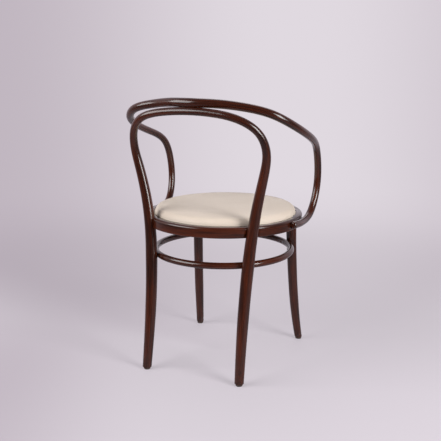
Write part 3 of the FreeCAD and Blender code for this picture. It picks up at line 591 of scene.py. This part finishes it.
def pad_foam():
    """Open-cell foam, slightly yellowed."""
    material, nodes, shader = new_material("pad_foam")
    place = nodes.object_place()
    tone = nodes.noise(place, scale=14, detail=3)
    pores = nodes.span(nodes.cells(place, 900.0), 0.25, 0.7)
    ground = nodes.mix(tone, (0.83, 0.79, 0.62, 1), (0.76, 0.70, 0.49, 1))
    # Painted shade: the foam is darker in its open pores.
    pore_shade_share = nodes.math("MULTIPLY", nodes.math("SUBTRACT", 1.0, pores), 0.4)
    base = nodes.mix(pore_shade_share, ground, (0.55, 0.49, 0.33, 1))
    rough = nodes.math("ADD", 0.85, nodes.math("MULTIPLY", tone, 0.1))
    surface(nodes, shader, base, rough, pores, strength=0.6, distance=0.0006)
    return material


def bottom_cloth_fabric():
    """Black non-woven cloth of pressed fibres."""
    material, nodes, shader = new_material("black_cloth")
    place = nodes.object_place()
    fibres = 0.0
    for stretch in ((260, 1900, 900), (1900, 260, 900)):
        drawn = nodes.vector("MULTIPLY", place, stretch)
        fibres = nodes.math("MAXIMUM", fibres, nodes.noise(drawn, detail=3, roughness=0.7, distortion=1.2))
    pressed = nodes.span(nodes.cells(place, 380.0), 0.15, 0.5)
    base = nodes.mix(nodes.span(fibres, 0.45, 0.75), (0.012, 0.012, 0.014, 1), (0.055, 0.055, 0.06, 1))
    rough = nodes.math("ADD", 0.78, nodes.math("MULTIPLY", fibres, 0.15))
    height = nodes.math("ADD", nodes.math("MULTIPLY", fibres, 0.5), nodes.math("MULTIPLY", pressed, 0.5))
    surface(nodes, shader, base, rough, height, strength=0.5, distance=0.0003)
    return material


def birch_plywood():
    """Raw birch plywood with its plies showing on the edge."""
    material, nodes, shader = new_material("birch_plywood")
    place = nodes.object_place()
    turned = nodes.add("ShaderNodeMapping", {"Vector": place, "Rotation": (math.pi / 2, 0, 0)})
    grain = nodes.group("wood grain", {
        "Place": turned.outputs[0], "Dark": (0.42, 0.29, 0.17, 1), "Light": (0.66, 0.51, 0.34, 1),
        "Fleck": (0.38, 0.25, 0.14, 1), "Streak width": 0.004, "Fleck share": 0.3})
    ply_thickness = 0.0014
    height = nodes.math("SUBTRACT", nodes.add("ShaderNodeSeparateXYZ", {0: place}).outputs["Z"], PANEL_LOW.z)
    ply = nodes.math("PINGPONG", nodes.math("DIVIDE", height, ply_thickness), 1.0)
    base = nodes.mix(nodes.span(ply, 0.35, 0.65, 0.0, 0.3), grain.outputs["Color"], (0.36, 0.23, 0.13, 1))
    rough = nodes.math("ADD", 0.62, nodes.math("MULTIPLY", grain.outputs["Height"], 0.2))
    surface(nodes, shader, base, rough, grain.outputs["Height"], strength=0.4, distance=0.0003)
    return material


def brown_plastic():
    """Moulded dark brown plastic, scuffed where it meets the floor."""
    material, nodes, shader = new_material("brown_plastic")
    place = nodes.object_place()
    grain = nodes.noise(place, scale=1400, detail=3)
    tone = nodes.noise(place, scale=90, detail=2)
    worn = nodes.group("foot wear", {"Place": place, "Reach": 0.006}).outputs["Mask"]
    ground = nodes.mix(tone, (0.040, 0.023, 0.016, 1), (0.058, 0.034, 0.024, 1))
    base = nodes.mix(nodes.math("MULTIPLY", worn, 0.7), ground, (0.13, 0.10, 0.085, 1))
    rough = nodes.math("ADD", 0.42, nodes.math("ADD", nodes.math("MULTIPLY", grain, 0.12),
                                               nodes.math("MULTIPLY", worn, 0.3)))
    surface(nodes, shader, base, rough, grain, strength=0.3, distance=0.0002)
    return material


def zinc_steel(name, fresh, aged):
    """Zinc-plated steel, brushed by the die, with a faint bloom, from its fresh colour to its aged one."""
    material, nodes, shader = new_material(name)
    place = nodes.object_place()
    lines = nodes.noise(nodes.vector("MULTIPLY", place, (500, 500, 4200)), detail=3, roughness=0.6)
    bloom = nodes.noise(place, scale=160, detail=3)
    base = nodes.mix(nodes.span(bloom, 0.35, 0.7), rgba(fresh), rgba(aged))
    rough = nodes.math("ADD", 0.24, nodes.math("MULTIPLY", lines, 0.22))
    surface(nodes, shader, base, rough, lines, strength=0.15, distance=0.0001)
    nodes.put(shader, "Metallic", 1.0)
    return material


def dress(node, material):
    """Gives a kept CAD node its material."""
    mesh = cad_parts[node].data
    mesh.materials.clear()
    mesh.materials.append(material)


# Pieces


def rod_end(node, places, arm_part=0.03, leg_part=0.002):
    """A vertex at one end of a bent rod, found in the lowest part of it."""
    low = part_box(node)[0]
    if node == "arm_bow":
        found = places[(places[:, 2] < low.z + arm_part) & (places[:, 0] > 0)]
        return found[found[:, 1].argmax()]
    found = places[places[:, 2] < low.z + leg_part]
    return found[found[:, 0].argmax()]


class CHAIR_OT_bent_rods(bpy.types.Operator):
    """Makes the back hoop, the arm bow and the front legs, with the grain following each bend"""

    bl_idname = "chair.bent_rods"
    bl_label = "Bent rods"

    def execute(self, context):
        material = stained_wood("walnut_rod")
        for node in ("back_hoop", "arm_bow", "front_leg_left", "front_leg_right"):
            mesh = node_copy(node, f"{node}_wood")
            put_grain(mesh, rod_end(node, coordinates(mesh)))
            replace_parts(new_piece(f"{node}_wood", mesh, material), node)
        return {"FINISHED"}


def round_over(mesh, small, large, last=math.radians(60), rim=math.radians(78)):
    """Rounds the seat ring's upper outer edge from a small radius to a large one, and tips its top outwards.

    Last is the arc's last angle above the level, and rim is that of the top's normals beside the pad.
    """
    places = coordinates(mesh)
    middle = (RING_LOW + RING_HIGH) / 2
    reach_out = (RING_HIGH.x - RING_LOW.x) / 2
    reach_in = (COVER_HIGH.x - COVER_LOW.x) / 2
    level, reach = from_axis(places, middle)
    height = places[:, 2].copy()

    def from_centre(radius):
        """The section's points seen from an arc's centre, and which of them lie above and outside it."""
        across, up = reach - (reach_out - radius), height - (RING_HIGH.z - radius)
        return across, up, (across > -1e-5) & (up > -1e-5)

    across, up, corner = from_centre(small)
    on_edge = corner & (abs(np.hypot(across, up) - small) < 0.0001)
    turn = np.arctan2(np.maximum(up, 0), np.maximum(across, 0))
    wide, tall, corner = from_centre(large)
    outside = corner & ~on_edge & (np.hypot(wide, tall) > large)
    turn = np.where(outside, np.arctan2(tall, wide), turn)
    moved = on_edge | outside
    on_top = (height > RING_HIGH.z - 1e-5) & (reach > reach_in)
    reach_new = np.where(moved, reach_out - large + large * np.cos(turn), reach)
    height_new = np.where(moved, RING_HIGH.z - large + large * np.sin(turn), height)
    share = (reach_new - reach_in) / (reach_out - large + large * math.cos(last) - reach_in)
    falling = (moved | on_top) & (share > 0) & (share < 1)
    slope = RING_HIGH.z - large * (1 - math.sin(last)) * share
    places[:, :2] = np.array(middle[:2]) + level * (reach_new / np.maximum(reach, TINY))[:, None]
    places[:, 2] = np.where(falling, np.minimum(height_new, slope), height_new)
    place_vertices(mesh, places)
    turn = np.where(falling, rim + (last - rim) * share, turn)
    normals = np.c_[level / np.maximum(reach, TINY)[:, None] * np.cos(turn)[:, None], np.sin(turn)]
    mesh.normals_split_custom_set_from_vertices(normals * (on_edge | on_top)[:, None])


class CHAIR_OT_rings(bpy.types.Operator):
    """Makes the seat ring and the leg ring, with the grain running round them"""

    bl_idname = "chair.rings"
    bl_label = "Rings"

    def execute(self, context):
        for node in ("seat_ring", "leg_ring"):
            low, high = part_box(node)
            axis = ((low.x + high.x) / 2, (low.y + high.y) / 2, low.z)
            material = stained_wood(f"walnut_{node}", (axis, (high.x - low.x) / 2))
            mesh = node_copy(node, f"{node}_wood")
            if node == "seat_ring":
                round_over(mesh, SOLID_EDGE, context.scene.chair_wood.edge)
            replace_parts(new_piece(f"{node}_wood", mesh, material), node)
        return {"FINISHED"}


def pad_profile(inset, low, steps=10, last=math.radians(72)):
    """The pad's outline from the middle of its top to the middle of its underside, drawn in by an inset."""
    pad = bpy.context.scene.chair_pad
    radius = (COVER_HIGH.x - COVER_LOW.x) / 2 - inset
    top, ring = COVER_HIGH.z + pad.rise - inset, RING_HIGH.z
    edge = radius - pad.roll_width
    profile = []
    for step in range(steps):
        share = step / steps
        profile.append((edge * share, top - pad.crown * share ** 2))
    roll = top - pad.crown - ring
    for step in range(steps + 1):
        turn = last * step / steps
        rest = (math.cos(turn) - math.cos(last)) / (1 - math.cos(last))
        profile.append((edge + (radius - edge) * math.sin(turn) / math.sin(last), ring + roll * rest))
    # The wall, the small bevel at its foot, and the underside
    return profile + [(radius, (ring + low) / 2), (radius - 0.0006, low + 0.0003), (radius - 0.003, low),
                      (radius * 0.5, low), (0, low)]


CLOTH_SETTINGS = {
    "quality": 6,
    "mass": 0.4,
    "tension_stiffness": 25,
    "compression_stiffness": 25,
    "shear_stiffness": 12,
    "bending_stiffness": 2,
    "use_pressure": True,
    "uniform_pressure_force": 4,
}


def filled(piece, smoothing=24):
    """Blows a pad up from inside with the cloth simulation, held at its wall. It only moves outwards."""
    pad = bpy.context.scene.chair_pad
    start = coordinates(piece.data)
    wall_top = RING_HIGH.z + 0.001
    held = piece.vertex_groups.new(name="held")
    for number in np.flatnonzero(start[:, 2] < wall_top).tolist():
        held.add([number], 1.0, "REPLACE")
    cloth = piece.modifiers.new("cloth", "CLOTH")
    for name, value in CLOTH_SETTINGS.items():
        setattr(cloth.settings, name, value)
    cloth.settings.effector_weights.gravity = 0
    cloth.settings.vertex_group_mass = held.name
    cloth.point_cache.frame_end = pad.frames
    scene = bpy.context.scene
    for number in range(1, pad.frames + 1):
        scene.frame_set(number)
    evaluated = piece.evaluated_get(bpy.context.evaluated_depsgraph_get())
    moved = coordinates(evaluated.data) - start
    piece.modifiers.remove(cloth)
    scene.frame_set(1)
    normals = coordinates(piece.data, "normal")
    first, second = edge_ends(piece.data).T
    total = len(start)
    count = np.bincount(np.r_[first, second], minlength=total)
    out = np.clip((moved * normals).sum(1), 0, pad.swell)
    for _ in range(smoothing):
        summed = np.bincount(first, out[second], total) + np.bincount(second, out[first], total)
        out = (out + summed / count) / 2
    place_vertices(piece.data, start + normals * out[:, None])


def tightened(places, centre):
    """The cover's points, drawn in between the staples and at the ring, and kept off the ring's wall."""
    pad = bpy.context.scene.chair_pad
    play = 0.0001
    radius = (COVER_HIGH.x - COVER_LOW.x) / 2 - play
    level, reach = from_axis(places, centre)
    turn = np.arctan2(level[:, 0], -level[:, 1])
    height = places[:, 2] - RING_HIGH.z
    pulled_height, pulled_width = 0.016, 0.045
    above = np.clip(height / pulled_height, 0, 1)
    edge = np.clip((reach - radius + pulled_width) / pulled_width, 0, 1)
    dimples = 0.00022 * edge ** 2 * (1 - above) * np.cos(turn * STAPLES)
    waves = 0.00012 * edge * np.sin(turn * 7 + 0.6) + 0.0001 * edge * np.sin(turn * 11 + 2.1)
    fullness = 0.0008 * edge ** 2
    free_height, overhang = 0.0012, 0.0006
    allowed = np.where(height < free_height, radius, radius + overhang)
    seam_height, seam_width = 0.001, 0.0028
    seam = np.exp(-((height - seam_height) / seam_width) ** 2)
    kept = np.minimum(reach + dimples + waves + fullness, allowed) - pad.tuck * seam
    places[:, :2] = np.array(centre[:2]) + level * (kept / np.maximum(reach, TINY))[:, None]
    places[:, 2] = np.maximum(places[:, 2], COVER_LOW.z)
    return places


class CHAIR_OT_pad_cover(bpy.types.Operator):
    """Makes the pad's leather cover: filled by simulation, turned under the panel and given its thickness"""

    bl_idname = "chair.pad_cover"
    bl_label = "Leather cover"

    def execute(self, context):
        pad = context.scene.chair_pad
        centre = (COVER_LOW + COVER_HIGH) / 2
        mesh = lathe("seat_pad_leather", pad_profile(pad.slack, COVER_LOW.z), centre, steps=160)
        cover = new_piece("seat_pad_leather", mesh, cream_leather())
        with_modifier(cover, "REMESH", mode="VOXEL", voxel_size=pad.voxel, use_smooth_shade=True)
        filled(cover)
        with_modifier(cover, "SUBSURF", levels=1, render_levels=1)
        place_vertices(cover.data, tightened(coordinates(cover.data), centre))
        self.open_below(cover, centre, (COVER_HIGH.x - COVER_LOW.x) / 2 - pad.fold_width)
        with_modifier(cover, "SOLIDIFY", thickness=pad.leather_thickness, offset=-1, use_rim=True)
        cover.data.polygons.foreach_set("use_smooth", [True] * len(cover.data.polygons))
        cover.data.set_sharp_from_angle(angle=math.radians(50))
        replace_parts(cover, "seat_cover")
        return {"FINISHED"}

    @staticmethod
    def open_below(cover, centre, radius):
        """Cuts the round opening in the fold under the panel."""
        work = bmesh.new()
        work.from_mesh(cover.data)
        underside = COVER_LOW.z + 0.0007

        def reach(vertex):
            """How far a vertex is from the pad's axis."""
            return (vertex.co.xy - centre.xy).length

        inside = [face for face in work.faces
                  if all(vertex.co.z < underside and reach(vertex) < radius for vertex in face.verts)]
        bmesh.ops.delete(work, geom=inside, context="FACES")
        for vertex in work.verts:
            if vertex.is_boundary:
                vertex.co.xy = centre.xy + (vertex.co.xy - centre.xy).normalized() * radius
        work.to_mesh(cover.data)
        work.free()


class CHAIR_OT_pad_foam(bpy.types.Operator):
    """Makes the foam inside the cover"""

    bl_idname = "chair.pad_foam"
    bl_label = "Foam"

    def execute(self, context):
        centre = (COVER_LOW + COVER_HIGH) / 2
        profile = pad_profile(inset=0.0032, low=PANEL_HIGH.z)
        mesh = lathe("seat_pad_foam", profile, centre, steps=120)
        foam = new_piece("seat_pad_foam", mesh, pad_foam())
        places = coordinates(foam.data)
        wave = np.sin(places[:, 0] * 31 + 1) * np.sin(places[:, 1] * 27 + 2)
        places[:, 2] -= np.where(places[:, 2] > RING_HIGH.z + 0.004, 0.0004 * (1 + wave), 0)
        place_vertices(foam.data, places)
        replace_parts(foam, "seat_foam")
        return {"FINISHED"}


class CHAIR_OT_bottom_cloth(bpy.types.Operator):
    """Makes the cloth stretched under the panel, drawn up at its staples"""

    bl_idname = "chair.bottom_cloth"
    bl_label = "Bottom cloth"

    def execute(self, context):
        centre = (CLOTH_LOW + CLOTH_HIGH) / 2
        radius = (CLOTH_HIGH.x - CLOTH_LOW.x) / 2
        thick = CLOTH_HIGH.z - CLOTH_LOW.z
        steps = [radius * share for share in np.linspace(0, 1, 29)]
        profile = [(reach, CLOTH_LOW.z) for reach in steps]
        profile += [(reach, CLOTH_HIGH.z - thick * 0.25) for reach in reversed(steps)]
        mesh = lathe("bottom_cloth_sheet", profile, centre, steps=144)
        cloth = new_piece("bottom_cloth_sheet", mesh, bottom_cloth_fabric())
        places = coordinates(cloth.data)
        level, reach = from_axis(places, centre)
        reach /= radius
        turn = np.arctan2(level[:, 0], -level[:, 1])
        sag = 0.0009 * (1 - reach ** 2) * (1 + 0.3 * np.sin(3 * turn + 0.5))
        ripple = 0.00022 * np.clip((reach - 0.75) / 0.25, 0, 1) * (1 - np.cos(STAPLES * turn + math.pi)) / 2
        places[:, 2] -= sag + ripple
        place_vertices(cloth.data, places)
        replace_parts(cloth, "bottom_cloth")
        return {"FINISHED"}


class CHAIR_OT_fittings(bpy.types.Operator):
    """Gives the panel, the glides and the steel fasteners their materials"""

    bl_idname = "chair.fittings"
    bl_label = "Panel, glides and fasteners"

    def execute(self, context):
        dress("seat_panel", birch_plywood())
        plastic = brown_plastic()
        steel = zinc_steel("zinc_steel", (0.60, 0.61, 0.63), (0.50, 0.50, 0.47))
        # A dark brown steel, given to the screws that join the hoop's crown to the arm bow.
        dark_brown = zinc_steel("dark_brown_steel", (0.060, 0.045, 0.038), (0.040, 0.028, 0.022))
        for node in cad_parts:
            if node.startswith("glide_") and node != "glide_nails":
                dress(node, plastic)
            elif node == "arm_top_screws":
                dress(node, dark_brown)
            elif node.endswith(("screws", "washers", "staples", "nails")):
                dress(node, steel)
        return {"FINISHED"}


# Stage


def sees_background(nodes):
    """Two masks: the camera's rays, and all that see the background, reflected and refracted ones too."""
    path = nodes.add("ShaderNodeLightPath").outputs
    through = nodes.math("MAXIMUM", path["Is Glossy Ray"], path["Is Transmission Ray"])
    return path["Is Camera Ray"], nodes.math("MAXIMUM", path["Is Camera Ray"], through)


def shown_back(nodes, way):
    """How strongly reflections show the background towards a direction: less on the studio's unlit side."""
    return nodes.span(nodes.vector("DOT_PRODUCT", way, LIT_WAY), -0.2, 0.7, 0.08, 1.0)


def backdrop_colour(nodes, way):
    """The background's colour towards a direction, from the stage's settings."""
    stage = bpy.context.scene.chair_stage
    inputs = {"Way": way, "Light": rgba(stage.background), "Dark": rgba(stage.shaded)}
    return nodes.group("backdrop", inputs).outputs["Color"]


def floor_material():
    """A pale floor that keeps the chair's shadow and runs out into the background."""
    stage = bpy.context.scene.chair_stage
    material, nodes, shader = new_material("studio_floor")
    geometry = nodes.add("ShaderNodeNewGeometry").outputs
    level = nodes.vector("MULTIPLY", geometry["Position"], (1, 1, 0))
    far = nodes.vector("LENGTH", level)
    camera_distance = 2.3
    away = nodes.math("DIVIDE", 1.0, nodes.math("ADD", far, camera_distance))
    way = nodes.add("ShaderNodeVectorMath", {0: level, 3: away}, operation="SCALE").outputs[0]
    aside = nodes.vector("DOT_PRODUCT", level, LEFT_WAY)
    near_side = nodes.vector("DOT_PRODUCT", level, NEAR_WAY)
    # Painted shade: the floor's colour turns towards the shaded background colour to the camera's left and on
    # its near side.
    dim = nodes.math("MULTIPLY", nodes.span(aside, 0.15, 0.65), nodes.span(near_side, -0.9, 0.3, 0.0, 0.95))
    ground = nodes.mix(dim, backdrop_colour(nodes, way), rgba(stage.shaded))
    tone = nodes.noise(geometry["Position"], scale=1.3, detail=2)
    base = nodes.mix(nodes.math("MULTIPLY", tone, 0.06), ground, rgba(stage.floor))
    nodes.put(shader, "Base Color", nodes.mix(0.5, base, rgba(stage.floor)))
    nodes.put(shader, "Roughness", 0.7)
    nodes.put(shader, "Specular IOR Level", 0.15)
    # Painted shade: the floor's glow is darker near the chair and fades out by three metres.
    near = nodes.mix(0.75, ground, rgba(stage.floor), "MULTIPLY")
    shown = nodes.mix(nodes.span(far, 0.7, 3.0), nodes.mix(0.3, ground, near), ground)
    camera, seen = sees_background(nodes)
    # Painted light: the camera and reflections also see the floor glow in this colour, half of its look near
    # the chair and all of it from about two metres off, which softens the chair's shadow.
    plain = nodes.add("ShaderNodeEmission", {
        "Color": shown, "Strength": nodes.math("MAXIMUM", shown_back(nodes, way), camera)})
    share = nodes.math("MULTIPLY", nodes.span(far, 0.3, 2.2, 0.5, 1.0), seen)
    upper = nodes.add("ShaderNodeMixShader", {0: share, 1: shader.outputs[0], 2: plain.outputs[0]})
    clear = nodes.add("ShaderNodeBsdfTransparent")
    below = nodes.math("MULTIPLY", geometry["Backfacing"], camera)
    whole = nodes.add("ShaderNodeMixShader", {0: below, 1: upper.outputs[0], 2: clear.outputs[0]})
    nodes.put(nodes.tree.nodes["Material Output"], "Surface", whole.outputs[0])
    return material


def studio_world():
    """Dim light from all round. The background is pale, and the studio's unlit side reflects less."""
    world = bpy.data.worlds.new("studio")
    world.use_nodes = True
    world.node_tree.nodes.clear()
    nodes = Nodes(world.node_tree)
    way = nodes.add("ShaderNodeTexCoord").outputs["Generated"]
    camera, seen = sees_background(nodes)
    strength = nodes.math("MAXIMUM", shown_back(nodes, way), camera)
    dim = nodes.add("ShaderNodeBackground", {"Color": (0.97, 0.95, 1.0, 1), "Strength": 0.34})
    shown = nodes.add("ShaderNodeBackground", {"Color": backdrop_colour(nodes, way), "Strength": strength})
    mixed = nodes.add("ShaderNodeMixShader", {0: seen, 1: dim.outputs[0], 2: shown.outputs[0]})
    nodes.add("ShaderNodeOutputWorld", {"Surface": mixed.outputs[0]})
    return world


def lamp(name, place, target, size, power):
    """A soft rectangular lamp aimed at a point."""
    data = bpy.data.lights.new(name, "AREA")
    data.shape = "RECTANGLE"
    data.size, data.size_y = size
    data.energy = power
    light = bpy.data.objects.new(name, data)
    bpy.context.scene.collection.objects.link(light)
    light.location = place
    light.rotation_euler = (Vector(target) - Vector(place)).to_track_quat("-Z", "Y").to_euler()


class CHAIR_OT_stage(bpy.types.Operator):
    """Makes the floor, the background, the lamps and the camera"""

    bl_idname = "chair.stage"
    bl_label = "Stage"

    def execute(self, context):
        stage = context.scene.chair_stage
        context.scene.view_settings.view_transform = "Standard"
        mesh = lathe("floor", [(0, 0), (0.6, 0), (2.5, 0), (12, 0)], Vector((0, 0, 0)), steps=64)
        floor = bpy.data.objects.new("floor", mesh)
        context.scene.collection.objects.link(floor)
        mesh.materials.append(floor_material())
        if mesh.polygons[0].normal.z < 0:
            mesh.flip_normals()
        context.scene.world = studio_world()
        lamp("left_box", place=(1.60, 1.66, 1.60), target=(0, 0, 0.55), size=(2.0, 1.5), power=57)
        lamp("right_box", place=(-2.10, 0.75, 1.25), target=(0, 0, 0.55), size=(0.9, 1.3), power=49)
        lamp("front_fill", place=(0.4, -1.6, 2.2), target=(0, 0, 0.4), size=(1.2, 1.2), power=5)
        self.camera(stage.lens)
        return {"FINISHED"}

    @staticmethod
    def camera(lens, place=(-0.9456, 2.11485, 0.9258), angles=(24.344, 12.67, 0.077)):
        """A camera behind the chair, to its right, looking down. Its turn, pitch and roll are in degrees."""
        turn, pitch, roll = (math.radians(angle) for angle in angles)
        level = math.cos(pitch)
        ahead = Vector((level * math.sin(turn), -level * math.cos(turn), -math.sin(pitch)))
        right = Vector((-math.cos(turn), -math.sin(turn), 0))
        up = right.cross(ahead)
        right, up = right * math.cos(roll) + up * math.sin(roll), up * math.cos(roll) - right * math.sin(roll)
        data = bpy.data.cameras.new("camera")
        data.lens, data.sensor_width = lens, 36
        camera = bpy.data.objects.new("camera", data)
        bpy.context.scene.collection.objects.link(camera)
        placed = Matrix((right, up, -ahead)).transposed().to_4x4()
        placed.translation = place
        camera.matrix_world = placed
        bpy.context.scene.camera = camera


# Add-on


OPERATORS = (CHAIR_OT_bent_rods, CHAIR_OT_rings, CHAIR_OT_pad_cover, CHAIR_OT_pad_foam, CHAIR_OT_bottom_cloth,
             CHAIR_OT_fittings, CHAIR_OT_stage)


class CHAIR_PT_panel(bpy.types.Panel):
    """Lists the chair's settings and the operators that make its pieces"""

    bl_idname = "CHAIR_PT_panel"
    bl_label = "Bentwood armchair"
    bl_space_type = "VIEW_3D"
    bl_region_type = "UI"
    bl_category = "Armchair"

    def draw(self, context):
        for settings in (context.scene.chair_wood, context.scene.chair_pad, context.scene.chair_stage):
            box = self.layout.box()
            for name in settings.__annotations__:
                box.prop(settings, name)
        for operator in OPERATORS:
            self.layout.operator(operator.bl_idname)


SETTINGS = {"chair_wood": WoodSettings, "chair_pad": PadSettings, "chair_stage": StageSettings}
CLASSES = (*SETTINGS.values(), *OPERATORS, CHAIR_PT_panel)


def register():
    """Registers the settings, the operators and the panel."""
    for item in CLASSES:
        bpy.utils.register_class(item)
    for name, kind in SETTINGS.items():
        setattr(bpy.types.Scene, name, PointerProperty(type=kind))


def unregister():
    """Takes them away again."""
    for name in SETTINGS:
        delattr(bpy.types.Scene, name)
    for item in reversed(CLASSES):
        bpy.utils.unregister_class(item)


def main():
    """Makes the whole scene."""
    register()
    bpy.ops.chair.bent_rods()
    bpy.ops.chair.rings()
    bpy.ops.chair.pad_cover()
    bpy.ops.chair.pad_foam()
    bpy.ops.chair.bottom_cloth()
    bpy.ops.chair.fittings()
    bpy.ops.chair.stage()


if __name__ == "__main__":
    main()
